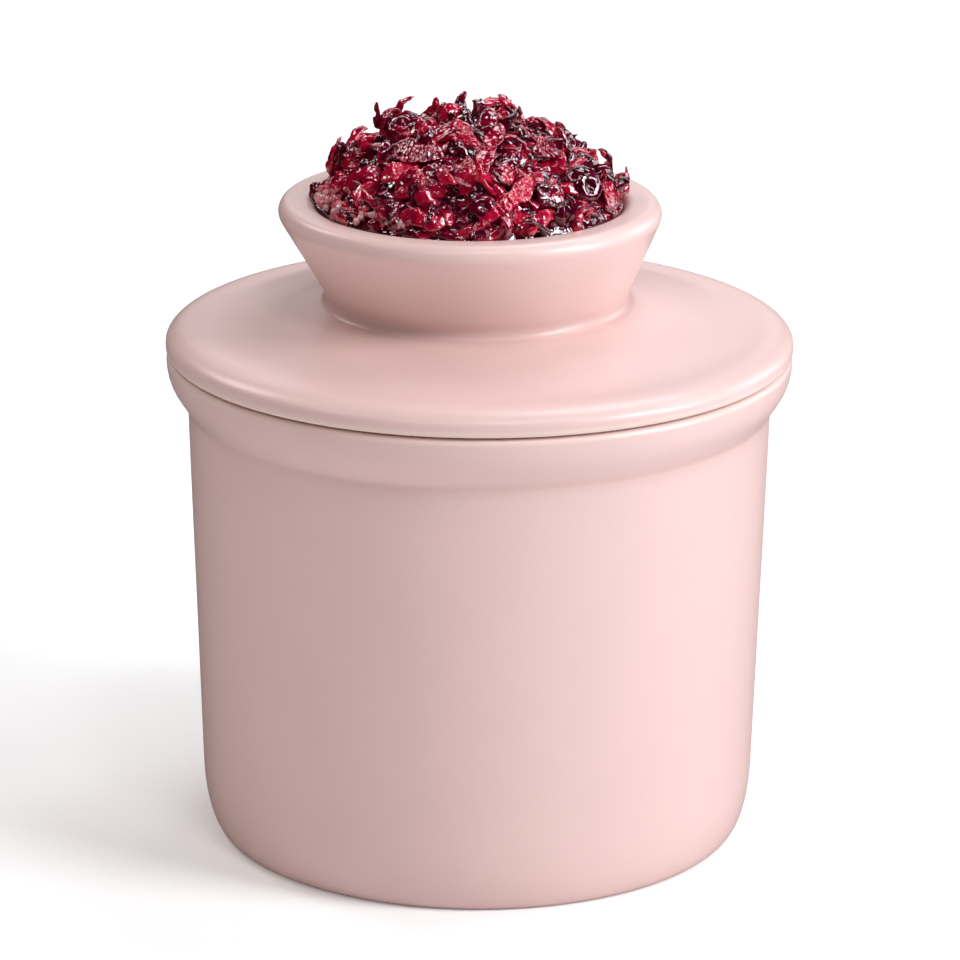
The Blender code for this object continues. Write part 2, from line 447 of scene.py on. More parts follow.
class Lathe(NodeShape):
    """Turns an outline about the Z axis, with a maker's slight unevenness, and can lean what is high up."""

    def __init__(self) -> None:
        """Builds the tree."""
        super().__init__(
            "lathe",
            {
                "Segments": ("NodeSocketInt", 192),
                "Lean": ("NodeSocketFloat", 0.0),
                "Lean Above": ("NodeSocketFloat", 0.0),
                "Wobble": ("NodeSocketFloat", 0.0),
                "Wobble Size": ("NodeSocketFloat", 0.03),
                "Seed": ("NodeSocketFloat", 1.0),
                "Material": ("NodeSocketMaterial", None),
            },
        )
        turned = self.turned()
        uneven = self.uneven(turned)
        self.end(self.leant(uneven), self.inputs["Material"])

    def turned(self) -> bpy.types.NodeSocket:
        """Makes a grid whose rows are the outline, each turned a step further, and closes its seam and poles.

        Returns:
            The output with the turned surface.
        """
        graph, outline = self.graph, self.inputs["Geometry"]
        count = graph.node("GeometryNodeAttributeDomainSize", {"Geometry": outline}).outputs["Point Count"]
        per_row = graph.math("ADD", self.inputs["Segments"], 1)
        grid = graph.node("GeometryNodeMeshGrid", {"Vertices X": count, "Vertices Y": per_row})
        index = graph.node("GeometryNodeInputIndex").outputs[0]
        on_outline = graph.math("FLOOR", graph.math("DIVIDE", graph.math("ADD", index, 0.5), per_row))
        step = graph.math("SUBTRACT", index, graph.math("MULTIPLY", on_outline, per_row))
        angle = graph.math("MULTIPLY", graph.math("DIVIDE", step, self.inputs["Segments"]), math.tau)
        place = graph.node("GeometryNodeInputPosition").outputs[0]
        found = graph.node(
            "GeometryNodeSampleIndex",
            {"Geometry": outline, "Value": place, "Index": on_outline},
            data_type="FLOAT_VECTOR",
        )
        turned = graph.node(
            "ShaderNodeVectorRotate", {"Vector": found.outputs[0], "Angle": angle}, rotation_type="Z_AXIS"
        )
        placed = graph.node(
            "GeometryNodeSetPosition", {"Geometry": grid.outputs["Mesh"], "Position": turned.outputs[0]}
        )
        bend = graph.node("GeometryNodeInputNamedAttribute", {"Name": "bend"}, data_type="FLOAT")
        bent = graph.node(
            "GeometryNodeSampleIndex",
            {"Geometry": outline, "Value": bend.outputs[0], "Index": on_outline},
            data_type="FLOAT",
        )
        stored = graph.node(
            "GeometryNodeStoreNamedAttribute",
            {"Geometry": placed.outputs[0], "Name": "bend", "Value": bent.outputs[0]},
            data_type="FLOAT",
            domain="POINT",
        )
        closed = graph.node("GeometryNodeMergeByDistance", {"Geometry": stored.outputs[0], "Distance": MERGE})
        return closed.outputs[0]

    def uneven(self, geometry: bpy.types.NodeSocket) -> bpy.types.NodeSocket:
        """Moves the surface in by up to the wobble, by smooth noise.

        Args:
            geometry: the output with the surface.

        Returns:
            The output with the uneven surface.
        """
        graph = self.graph
        place = graph.node("GeometryNodeInputPosition").outputs[0]
        scale = graph.math("DIVIDE", 1.0, self.inputs["Wobble Size"])
        waves = graph.node(
            "ShaderNodeTexNoise",
            {"Vector": place, "W": self.inputs["Seed"], "Scale": scale, "Detail": 1.0},
            noise_dimensions="4D",
        )
        depth = graph.math("MULTIPLY", self.inputs["Wobble"], -1.0)
        inwards = graph.math("MULTIPLY", waves.outputs["Fac"], depth)
        outwards = graph.vector("NORMALIZE", graph.vector("MULTIPLY", place, (1, 1, 0)))
        offset = graph.vector("SCALE", outwards, inwards)
        moved = graph.node("GeometryNodeSetPosition", {"Geometry": geometry, "Offset": offset})
        return moved.outputs[0]

    def leant(self, geometry: bpy.types.NodeSocket) -> bpy.types.NodeSocket:
        """Leans what lies above a height towards -X.

        Args:
            geometry: the output with the surface.

        Returns:
            The output with the leant surface.
        """
        graph = self.graph
        place = graph.node("GeometryNodeInputPosition").outputs[0]
        height = graph.node("ShaderNodeSeparateXYZ", {0: place}).outputs["Z"]
        above = graph.math("MAXIMUM", graph.math("SUBTRACT", height, self.inputs["Lean Above"]), 0.0)
        shift = graph.math("MULTIPLY", graph.math("MULTIPLY", above, self.inputs["Lean"]), -1.0)
        offset = graph.node("ShaderNodeCombineXYZ", {"X": shift}).outputs[0]
        return graph.node("GeometryNodeSetPosition", {"Geometry": geometry, "Offset": offset}).outputs[0]


class Mound(NodeShape):
    """Stirs a smooth turned heap into a lumpy, syrupy one that spills a little to one side."""

    SPILL_START = -0.001  # height over the rim, in metres, at which the spill starts
    SPILL_END = 0.004  # and at which it is full

    def __init__(self) -> None:
        """Builds the tree."""
        super().__init__(
            "mound",
            {
                "Lump": ("NodeSocketFloat", 0.001),
                "Lump Size": ("NodeSocketFloat", 0.006),
                "Ripple": ("NodeSocketFloat", 0.0003),
                "Ripple Size": ("NodeSocketFloat", 0.002),
                "Spill": ("NodeSocketFloat", 0.002),
                "Reach": ("NodeSocketFloat", 0.025),
                "Axis": ("NodeSocketFloat", 0.0),
                "Rim": ("NodeSocketFloat", 0.1),
                "Mouth": ("NodeSocketFloat", 0.025),
                "Top": ("NodeSocketFloat", 0.126),
                "Seed": ("NodeSocketFloat", 2.0),
                "Material": ("NodeSocketMaterial", None),
            },
        )
        given = self.inputs
        spilt = self.spilt(given["Geometry"])
        lumpy = self.crumpled(spilt, given["Lump"], given["Lump Size"], given["Seed"])
        rippled = self.crumpled(lumpy, given["Ripple"], given["Ripple Size"], given["Seed"])
        held = self.held(rippled, given["Axis"], given["Rim"], given["Mouth"], given["Top"])
        self.end(held, given["Material"])

    def spilt(self, geometry: bpy.types.NodeSocket) -> bpy.types.NodeSocket:
        """Pushes what is above the rim out to +X.

        Args:
            geometry: the output with the heap.

        Returns:
            The output with the heap that has spilt.
        """
        graph, given = self.graph, self.inputs
        place = graph.node("GeometryNodeInputPosition").outputs[0]
        parts = graph.node("ShaderNodeSeparateXYZ", {0: place}).outputs
        across = graph.math("SUBTRACT", parts["X"], given["Axis"])
        side = graph.math("DIVIDE", across, given["Reach"], clamp=True)
        above = graph.math("SUBTRACT", parts["Z"], given["Rim"])
        rise = graph.spread(above, self.SPILL_START, self.SPILL_END, 0.0, 1.0)
        shift = graph.math("MULTIPLY", graph.math("MULTIPLY", side, rise), given["Spill"])
        offset = graph.node("ShaderNodeCombineXYZ", {"X": shift}).outputs[0]
        return graph.node("GeometryNodeSetPosition", {"Geometry": geometry, "Offset": offset}).outputs[0]


class Shreds(NodeShape):
    """Strews torn, curled pieces of fruit over a surface."""

    BLUNTNESS = 2.6  # the power that squares off a shred's ends
    RIB_SLANT = 1.4  # radians that a rib shifts from a shred's middle to its edge
    CROWDING = 4.0  # tries for each square of the spacing
    SINK = -0.5  # how far a shred may sink, as a share of its lift
    TINT_SPREAD = 37.0  # sets the noises of two tints apart
    SEED_STEP = 100  # sets the seeds of two draws apart

    def __init__(self) -> None:
        """Builds the tree."""
        super().__init__(
            "shreds",
            {
                "Spacing": ("NodeSocketFloat", 0.004),
                "Length": ("NodeSocketFloat", 0.008),
                "Width": ("NodeSocketFloat", 0.003),
                "Thickness": ("NodeSocketFloat", 0.0012),
                "Rings": ("NodeSocketInt", 16),
                "Sides": ("NodeSocketInt", 10),
                "Curl": ("NodeSocketFloat", 1.2),
                "Cup": ("NodeSocketFloat", 0.3),
                "Rib": ("NodeSocketFloat", 0.0002),
                "Rib Pitch": ("NodeSocketFloat", 0.0018),
                "Warp": ("NodeSocketFloat", 0.001),
                "Warp Size": ("NodeSocketFloat", 0.005),
                "Crumple": ("NodeSocketFloat", 0.0003),
                "Crumple Size": ("NodeSocketFloat", 0.0014),
                "Smallest": ("NodeSocketFloat", 0.7),
                "Largest": ("NodeSocketFloat", 1.25),
                "Tilt": ("NodeSocketFloat", 0.5),
                "Lift": ("NodeSocketFloat", 0.0005),
                "Lowest": ("NodeSocketFloat", 0.1),
                "Axis": ("NodeSocketFloat", 0.0),
                "Rim": ("NodeSocketFloat", 0.1),
                "Mouth": ("NodeSocketFloat", 0.025),
                "Top": ("NodeSocketFloat", 0.126),
                "Seed": ("NodeSocketInt", 1),
                "Material": ("NodeSocketMaterial", None),
            },
        )
        given = self.inputs
        strewn = self.strewn(self.shred())
        tint = self.graph.node("GeometryNodeInputNamedAttribute", {"Name": "tint"}, data_type="FLOAT")
        own = self.graph.math("ADD", tint.outputs[0], given["Seed"])
        change = self.graph.math("MULTIPLY", own, self.TINT_SPREAD)
        warped = self.crumpled(strewn, given["Warp"], given["Warp Size"], change)
        crumpled = self.crumpled(warped, given["Crumple"], given["Crumple Size"], change)
        held = self.held(crumpled, given["Axis"], given["Rim"], given["Mouth"], given["Top"])
        self.end(held, given["Material"])

    def shred(self) -> bpy.types.NodeSocket:
        """One shred: a ball drawn out along X, flattened, cupped, ribbed and curled.

        Returns:
            The output with the shred, which keeps its uncurled places in an attribute.
        """
        graph, given = self.graph, self.inputs
        sizes = {"Segments": given["Sides"], "Rings": given["Rings"], "Radius": 1.0}
        ball = graph.node("GeometryNodeMeshUVSphere", sizes).outputs["Mesh"]
        place = graph.node("GeometryNodeInputPosition").outputs[0]
        parts = graph.node("ShaderNodeSeparateXYZ", {0: place}).outputs
        polar = graph.math("ARCCOSINE", graph.math("MINIMUM", graph.math("MAXIMUM", parts["Z"], -1.0), 1.0))
        along = graph.math("SUBTRACT", 1.0, graph.math("MULTIPLY", polar, 2 / math.pi))
        girth = graph.math("MAXIMUM", graph.math("SINE", polar), MERGE)
        side = graph.math("DIVIDE", parts["X"], girth)
        face = graph.math("DIVIDE", parts["Y"], girth)
        blunt = graph.math("POWER", graph.math("ABSOLUTE", along), self.BLUNTNESS)
        full = graph.math("SQRT", graph.math("MAXIMUM", graph.math("SUBTRACT", 1.0, blunt), 0.0))
        half_width = graph.math("MULTIPLY", graph.math("MULTIPLY", given["Width"], 0.5), full)
        half_thick = graph.math("MULTIPLY", graph.math("MULTIPLY", given["Thickness"], 0.5), full)
        across = graph.math("MULTIPLY", side, half_width)
        reach = graph.math("MULTIPLY", along, graph.math("MULTIPLY", given["Length"], 0.5))
        phase = graph.math("MULTIPLY", graph.math("DIVIDE", reach, given["Rib Pitch"]), math.tau)
        slant = graph.math("ADD", phase, graph.math("MULTIPLY", side, self.RIB_SLANT))
        rib = graph.math("MULTIPLY", graph.math("MULTIPLY", graph.math("SINE", slant), given["Rib"]), full)
        cup = graph.math("MULTIPLY", graph.math("MULTIPLY", side, across), given["Cup"])
        skin = graph.math("ADD", graph.math("MULTIPLY", face, half_thick), graph.math("ADD", rib, cup))
        turn = graph.math("MULTIPLY", graph.math("MULTIPLY", along, given["Curl"]), 0.5)
        bend = graph.math("DIVIDE", given["Length"], given["Curl"])
        out = graph.math("ADD", bend, skin)
        x = graph.math("MULTIPLY", out, graph.math("SINE", turn))
        z = graph.math("SUBTRACT", graph.math("MULTIPLY", out, graph.math("COSINE", turn)), bend)
        spot = graph.node("ShaderNodeCombineXYZ", {"X": x, "Y": across, "Z": z}).outputs[0]
        shaped = graph.node("GeometryNodeSetPosition", {"Geometry": ball, "Position": spot}).outputs[0]
        strand = graph.node("ShaderNodeCombineXYZ", {"X": reach, "Y": across, "Z": skin}).outputs[0]
        kept = graph.node(
            "GeometryNodeStoreNamedAttribute",
            {"Geometry": shaped, "Name": "strand", "Value": strand},
            data_type="FLOAT_VECTOR",
            domain="POINT",
        )
        return kept.outputs[0]

    def strewn(self, shred: bpy.types.NodeSocket) -> bpy.types.NodeSocket:
        """Strews copies of the shred over the surface.

        Args:
            shred: the output with one shred.

        Returns:
            The output with the copies made real, each with a tint of its own.
        """
        graph, given = self.graph, self.inputs
        place = graph.node("GeometryNodeInputPosition").outputs[0]
        height = graph.node("ShaderNodeSeparateXYZ", {0: place}).outputs["Z"]
        high = graph.node(
            "FunctionNodeCompare",
            {0: height, 1: given["Lowest"]},
            data_type="FLOAT",
            operation="GREATER_THAN",
        ).outputs[0]
        area = graph.math("MULTIPLY", given["Spacing"], given["Spacing"])
        crowd = graph.math("DIVIDE", self.CROWDING, area)
        strewn = graph.node(
            "GeometryNodeDistributePointsOnFaces",
            {
                "Mesh": given["Geometry"],
                "Selection": high,
                "Distance Min": given["Spacing"],
                "Density Max": crowd,
                "Seed": given["Seed"],
            },
            distribute_method="POISSON",
        )
        lift = self.chance("FLOAT", self.SINK, 1.0, draw=3)
        offset = graph.vector("SCALE", strewn.outputs["Normal"], graph.math("MULTIPLY", lift, given["Lift"]))
        lifted = graph.node(
            "GeometryNodeSetPosition", {"Geometry": strewn.outputs["Points"], "Offset": offset}
        )
        lean = graph.math("MULTIPLY", given["Tilt"], -1.0)
        least = graph.node("ShaderNodeCombineXYZ", {"X": lean, "Y": lean, "Z": 0.0}).outputs[0]
        most = graph.node(
            "ShaderNodeCombineXYZ", {"X": given["Tilt"], "Y": given["Tilt"], "Z": math.tau}
        ).outputs[0]
        angles = self.chance("FLOAT_VECTOR", least, most, draw=5)
        spin = graph.node("FunctionNodeEulerToRotation", {0: angles}).outputs[0]
        turned = graph.node(
            "FunctionNodeRotateRotation",
            {"Rotation": strewn.outputs["Rotation"], "Rotate By": spin},
            rotation_space="LOCAL",
        ).outputs[0]
        copies = graph.node(
            "GeometryNodeInstanceOnPoints",
            {
                "Points": lifted.outputs[0],
                "Instance": shred,
                "Rotation": turned,
                "Scale": self.chance("FLOAT", given["Smallest"], given["Largest"], draw=7),
            },
        )
        tinted = graph.node(
            "GeometryNodeStoreNamedAttribute",
            {"Geometry": copies.outputs[0], "Name": "tint", "Value": self.chance("FLOAT", 0.0, 1.0, draw=11)},
            data_type="FLOAT",
            domain="INSTANCE",
        )
        return graph.node("GeometryNodeRealizeInstances", {"Geometry": tinted.outputs[0]}).outputs[0]

    def chance(self, kind: str, least: Any, most: Any, draw: int) -> bpy.types.NodeSocket:
        """A random value for each point, drawn with the tree's seed.

        Args:
            kind: FLOAT or FLOAT_VECTOR.
            least: the lowest value, or the output that gives it.
            most: the highest.
            draw: tells this draw from the tree's others.

        Returns:
            The output with the value.
        """
        graph = self.graph
        pair, out = ((0, 1), 0) if kind == "FLOAT_VECTOR" else ((2, 3), 1)
        seed = graph.math("ADD", self.inputs["Seed"], draw * self.SEED_STEP)
        inputs = {pair[0]: least, pair[1]: most, "Seed": seed}
        return graph.node("FunctionNodeRandomValue", inputs, data_type=kind).outputs[out]


@dataclass(frozen=True)
class Finish:
    """What every finish shares: a named Principled material."""

    name: str

    def start(self) -> tuple[bpy.types.Material, Graph, bpy.types.Node]:
        """Starts the material.

        Returns:
            The new material, its graph and its Principled shader.
        """
        material = bpy.data.materials.new(self.name)
        material.use_nodes = True
        return material, Graph(material.node_tree), material.node_tree.nodes["Principled BSDF"]

    @staticmethod
    def set(shader: bpy.types.Node, values: dict[str, Any]) -> None:
        """Sets a shader's own sockets, by name."""
        for name, value in values.items():
            shader.inputs[name].default_value = value


@dataclass(frozen=True)
class PinkGlaze(Finish):
    """A satin pink stoneware glaze: paler on tight outer edges, partly as glaze running thin there and partly
    as a painted highlight along them, and deeper where it gathers.
    """

    colour: tuple[float, float, float] = (0.76, 0.522, 0.492)
    # Paler colour on tight outer edges: thinner glaze, and also a painted highlight along every tight edge,
    # such as the light line on the lid's lower edge.
    thin_glaze_sheen: tuple[float, float, float] = (0.80, 0.60, 0.54)
    pooled: tuple[float, float, float] = (0.69, 0.435, 0.40)
    thin_sheen_bend: tuple[float, float] = (-0.6, -1.0)
    pooled_bend: tuple[float, float] = (0.1, 0.8)
    mottle: float = 0.016
    mottle_size: float = 0.016
    roughness: float = 0.42
    roughness_change: float = 0.03
    ripple: float = 0.00002
    ripple_size: float = 0.004

    def material(self) -> bpy.types.Material:
        """Makes the glaze.

        Returns:
            Its material.
        """
        material, graph, shader = self.start()
        place = graph.node("ShaderNodeTexCoord").outputs["Object"]
        bend = graph.node("ShaderNodeAttribute", attribute_name="bend").outputs["Fac"]
        # Tight outer edges get the paler colour: thin glaze and painted highlight together.
        thin_sheen_share = graph.spread(bend, *self.thin_sheen_bend, 0.0, 1.0)
        in_hollows = graph.spread(bend, *self.pooled_bend, 0.0, 1.0)
        thin_glaze_sheen = graph.blend(thin_sheen_share, rgba(self.colour), rgba(self.thin_glaze_sheen))
        pooled = graph.blend(in_hollows, thin_glaze_sheen, rgba(self.pooled))
        cloud = graph.cloud(place, self.mottle_size, detail=4.0)
        shade = graph.spread(cloud, *NOISE_RANGE, 1 - self.mottle, 1 + self.mottle)
        graph.tree.links.new(graph.vector("SCALE", pooled, shade), shader.inputs["Base Color"])
        roughest = self.roughness + self.roughness_change
        smoothest = self.roughness - self.roughness_change
        rough = graph.spread(cloud, *NOISE_RANGE, roughest, smoothest)
        graph.tree.links.new(rough, shader.inputs["Roughness"])
        ripple = graph.cloud(place, self.ripple_size, detail=2.0)
        bump = graph.node("ShaderNodeBump", {"Height": ripple, "Distance": self.ripple, "Strength": 1.0})
        graph.tree.links.new(bump.outputs[0], shader.inputs["Normal"])
        self.set(shader, {"Coat Weight": 0.35, "Coat Roughness": 0.22, "Specular IOR Level": 0.5})
        return material


@dataclass(frozen=True)
class BareClay(Finish):
    """Unglazed stoneware, on the ring that the pot stands on."""

    colour: tuple[float, float, float] = (0.72, 0.63, 0.52)
    dark: tuple[float, float, float] = (0.55, 0.46, 0.36)
    grain_size: float = 0.0006
    grain_range: tuple[float, float] = (0.35, 0.65)
    grain_height: float = 0.0001

    def material(self) -> bpy.types.Material:
        """Makes the clay.

        Returns:
            Its material.
        """
        material, graph, shader = self.start()
        place = graph.node("ShaderNodeTexCoord").outputs["Object"]
        grain = graph.cloud(place, self.grain_size, detail=5.0)
        light = graph.spread(grain, *self.grain_range, 0.0, 1.0)
        colour = graph.blend(light, rgba(self.dark), rgba(self.colour))
        graph.tree.links.new(colour, shader.inputs["Base Color"])
        bump = graph.node("ShaderNodeBump", {"Height": grain, "Distance": self.grain_height})
        graph.tree.links.new(bump.outputs[0], shader.inputs["Normal"])
        self.set(shader, {"Roughness": 0.85})
        return material


@dataclass(frozen=True)
class CookedFruit(Finish):
    """Sugared fruit, wet with syrup: near black in the depths, bright red where it is thin."""

    deep: tuple[float, float, float] = (0.052, 0.0006, 0.008)
    dark: tuple[float, float, float] = (0.135, 0.0009, 0.016)
    red: tuple[float, float, float] = (0.350, 0.0022, 0.026)
    bright: tuple[float, float, float] = (0.600, 0.0090, 0.050)
    # Pink-white top of the colour ramp: pale fruit flesh, and also painted pinkish highlights on the palest
    # pieces and grains.
    pale_flesh_sheen: tuple[float, float, float] = (0.780, 0.440, 0.460)
    steps: tuple[float, float, float, float, float] = (0.06, 0.26, 0.46, 0.68, 1.00)
    palest: float = 1.6
    mottle_size: float = 0.0020
    mottle: float = 0.6
    rib_size: float = 0.0013
    crease: float = 0.00026
    crease_size: float = 0.0016

    def material(self) -> bpy.types.Material:
        """Makes the fruit's flesh and its syrup.

        Returns:
            Their material.
        """
        material, graph, shader = self.start()
        place = graph.node("ShaderNodeTexCoord").outputs["Object"]
        tint = graph.node("ShaderNodeAttribute", attribute_name="tint").outputs["Fac"]
        strand = graph.node("ShaderNodeAttribute", attribute_name="strand").outputs["Vector"]
        cloud = graph.cloud(place, self.mottle_size, detail=3.0)
        shift = graph.math("MULTIPLY", graph.math("SUBTRACT", cloud, 0.5), self.mottle * 2)
        paleness = graph.math("DIVIDE", graph.math("ADD", tint, shift), self.palest, clamp=True)
        ramp = graph.node("ShaderNodeValToRGB", {0: paleness})
        # The top colour is partly painted highlight on the palest pieces.
        colours = (self.deep, self.dark, self.red, self.bright, self.pale_flesh_sheen)
        for _ in range(len(colours) - 2):
            ramp.color_ramp.elements.new(0.5)
        for element, step, colour in zip(ramp.color_ramp.elements, self.steps, colours):
            element.position = step
            element.color = rgba(colour)
        graph.tree.links.new(ramp.outputs["Color"], shader.inputs["Base Color"])
        ribs = graph.cloud(strand, self.rib_size, detail=0.0, distortion=0.8)
        creases = graph.cloud(place, self.crease_size, detail=0.0, distortion=1.0)
        height = graph.math("ADD", ribs, creases)
        bump = graph.node("ShaderNodeBump", {"Height": height, "Distance": self.crease, "Strength": 1.0})
        for name in ("Normal", "Coat Normal"):
            graph.tree.links.new(bump.outputs[0], shader.inputs[name])
        flesh = {
            "Roughness": 0.16,
            "Specular IOR Level": 0.2,
            "Specular Tint": (1.0, 0.35, 0.40, 1.0),
            "Subsurface Weight": 0.30,
            "Subsurface Radius": (1.0, 0.15, 0.1),
            "Subsurface Scale": 0.0012,
        }
        syrup = {"Coat Weight": 1.0, "Coat IOR": 1.9, "Coat Roughness": 0.04}
        self.set(shader, flesh | syrup)
        return material


class Piece:
    """What every sub-assembly does with a finished piece."""

    def keep(self, piece: bpy.types.Object, body: Body, slot: str, *nodes: str) -> None:
        """Makes a finished piece part of the model, and reports it.

        Args:
            piece: the object, in its place.
            body: the body that it rides on.
            slot: not used.
            nodes: the CAD nodes that it stands for.
        """
        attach(piece, body.value)
        if nodes:
            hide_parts(*nodes)
        log.info("%s rides on %s with %d faces", piece.name, body.value, len(piece.data.polygons))

    def object(self, name: str, mesh: bpy.types.Mesh) -> bpy.types.Object:
        """Adds an object at the origin.

        Args:
            name: its name.
            mesh: its mesh.

        Returns:
            The new object.
        """
        made = bpy.data.objects.new(name, mesh)
        bpy.context.scene.collection.objects.link(made)
        return made


@dataclass
class Pot(Piece):
    """The pot: recessed foot, soft base corner, tapered wall, and a collar round its flat rim."""

    taper: float = 0.0024
    belly: float = 0.0002
    wall: float = 0.0045
    floor: float = 0.0050
    base_corner: tuple[float, float] = (0.0031, 0.0110)
    foot_width: float = 0.0040
    foot_recess: float = 0.0010
    inner_corner: float = 0.0080
    collar_height: float = 0.0091
    collar_reach: float = 0.0035
    collar_slope: float = 0.0052
    collar_swell: float = 0.0090
    collar_root: float = 0.0018
    rim_rounds: tuple[float, float] = (0.0011, 0.0015)
    wobble: float = 0.00012
    wobble_size: float = 0.04
    wobble_seed: float = 3.0
    bare_below: float = 0.00005
    high: Vector = field(default_factory=lambda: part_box("crock_pot")[1])

    @property
    def height(self) -> float:
        """From the foot to the rim."""
        return self.high.z

    @property
    def radius(self) -> float:
        """Outside of the wall, just under the collar."""
        return self.high.x - self.collar_reach

    @property
    def collar_start(self) -> float:
        """The height at which the collar begins."""
        return self.height - self.collar_height

    def wall_radius(self, height: float) -> float:
        """Outside radius of the wall at a height."""
        corner = self.base_corner[1]
        return self.radius - self.taper * (1 - (height - corner) / (self.collar_start - corner))

    def outline(self) -> Outline:
        """The pot's outline.

        Returns:
            It, from the middle of the underside round the wall to the middle of the floor.
        """
        base = self.wall_radius(self.base_corner[1])
        foot = base - self.base_corner[0]
        middle = (self.base_corner[1] + self.collar_start) / 2
        reach = (self.collar_start - self.base_corner[1]) / 4
        collar = self.radius + self.collar_reach
        return Outline(
            [
                (0, self.foot_recess),
                (foot - self.foot_width - self.foot_recess, self.foot_recess, self.foot_recess / 2),
                (foot - self.foot_width, 0, self.foot_recess / 4),
                (foot, 0),
                (base, 0, self.base_corner),
                (self.wall_radius(middle) + self.belly, middle, (reach, reach)),
                (self.radius, self.collar_start, self.collar_root),
                (collar, self.collar_start + self.collar_slope, self.collar_swell),
                (collar, self.height, self.rim_rounds[0]),
                (self.wall_radius(self.height) - self.wall, self.height, self.rim_rounds[1]),
                (self.wall_radius(self.floor) - self.wall, self.floor, self.inner_corner),
                (0, self.floor),
            ]
        )

    def build(self, lathe: Lathe, glaze: bpy.types.Material, clay: bpy.types.Material) -> None:
        """Turns the pot and bares its foot ring.

        Args:
            lathe: the tree that turns outlines.
            glaze: the pot's material.
            clay: the foot ring's material.
        """
        pot = self.object("pot_stoneware", self.outline().mesh("pot_outline"))
        values = {
            "Wobble": self.wobble,
            "Wobble Size": self.wobble_size,
            "Seed": self.wobble_seed,
            "Material": glaze,
        }
        lathe.run(pot, values)
        pot.data.materials.append(clay)
        for face in pot.data.polygons:
            if all(pot.data.vertices[v].co.z < self.bare_below for v in face.vertices):
                face.material_index = 1
        self.keep(pot, Body.POT, "pot_glaze", "crock_pot")


@dataclass
class BellLid(Piece):
    """The lid: the butter bell, the plate that rests on the rim, and the hollow handle, all one piece."""

    edge_height: float = 0.0042
    edge_low_round: float = 0.0008
    edge_top: tuple[float, float] = (0.0027, 0.0053)
    level_width: float = 0.0026
    dish_round: float = 0.0200
    rise: float = 0.0043
    bell_to_wall: float = 0.0058
    bell_wall: float = 0.0042
    bell_inner_corner: float = 0.0080
    bell_root_round: float = 0.0020
    neck_radius: float = 0.0245
    flare: float = 0.0087
    neck_round: float = 0.0016
    rim_width: float = 0.0072
    rim_round: float = 0.0021
    handle_wall: float = 0.0040
    lean: float = 0.089
    well_depth: float = 0.0167
    well_floor: float = 0.0060
    well_corner: float = 0.0050
    seat_gap: float = 0.0003
    wobble: float = 0.00010
    wobble_size: float = 0.04
    wobble_seed: float = 8.0
    low: Vector = field(default_factory=lambda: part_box("bell_lid")[0])
    high: Vector = field(default_factory=lambda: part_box("bell_lid")[1])

    def outline(self, pot: Pot) -> Outline:
        """The lid's outline.

        Args:
            pot: the pot that it closes.

        Returns:
            It, from the middle of the bell's ceiling round the bell, plate and handle to the well's floor.
        """
        seat = pot.height + self.seat_gap
        edge = seat + self.edge_height
        neck = edge + self.rise
        handle = self.neck_radius + self.flare
        well = self.high.z - self.well_depth
        ceiling = well - self.well_floor
        inset = pot.wall + self.bell_to_wall
        root = pot.wall_radius(seat) - inset
        lip = pot.wall_radius(self.low.z) - inset
        lid = self.high.x
        return Outline(
            [
                (0, ceiling),
                (root - self.bell_wall, ceiling, self.bell_inner_corner),
                (lip - self.bell_wall, self.low.z, self.bell_wall / 2),
                (lip, self.low.z, self.bell_wall / 2),
                (root, seat, self.bell_root_round),
                (lid, seat, self.edge_low_round),
                (lid, edge, self.edge_top),
                (lid - self.edge_top[1] - self.level_width, edge, self.dish_round),
                (self.neck_radius, neck, self.neck_round),
                (handle, self.high.z, self.rim_round),
                (handle - self.rim_width, self.high.z, self.rim_round),
                (self.neck_radius - self.handle_wall, well, self.well_corner),
                (0, well),
            ]
        )

    def build(self, pot: Pot, lathe: Lathe, glaze: bpy.types.Material) -> None:
        """Turns the lid.

        Args:
            pot: the pot that it closes.
            lathe: the tree that turns outlines.
            glaze: the lid's material.
        """
        lid = self.object("lid_stoneware", self.outline(pot).mesh("lid_outline"))
        values = {
            "Lean": self.lean,
            "Lean Above": pot.height + self.seat_gap + self.edge_height,
            "Wobble": self.wobble,
            "Wobble Size": self.wobble_size,
            "Seed": self.wobble_seed,
            "Material": glaze,
        }
        lathe.run(lid, values)
        self.keep(lid, Body.LID, "lid_glaze", "bell_lid")


@dataclass(frozen=True)
class ShredLayer:
    """One layer of shreds over the jam: the inputs of their tree that differ from its own values."""

    name: str
    values: dict[str, Any]


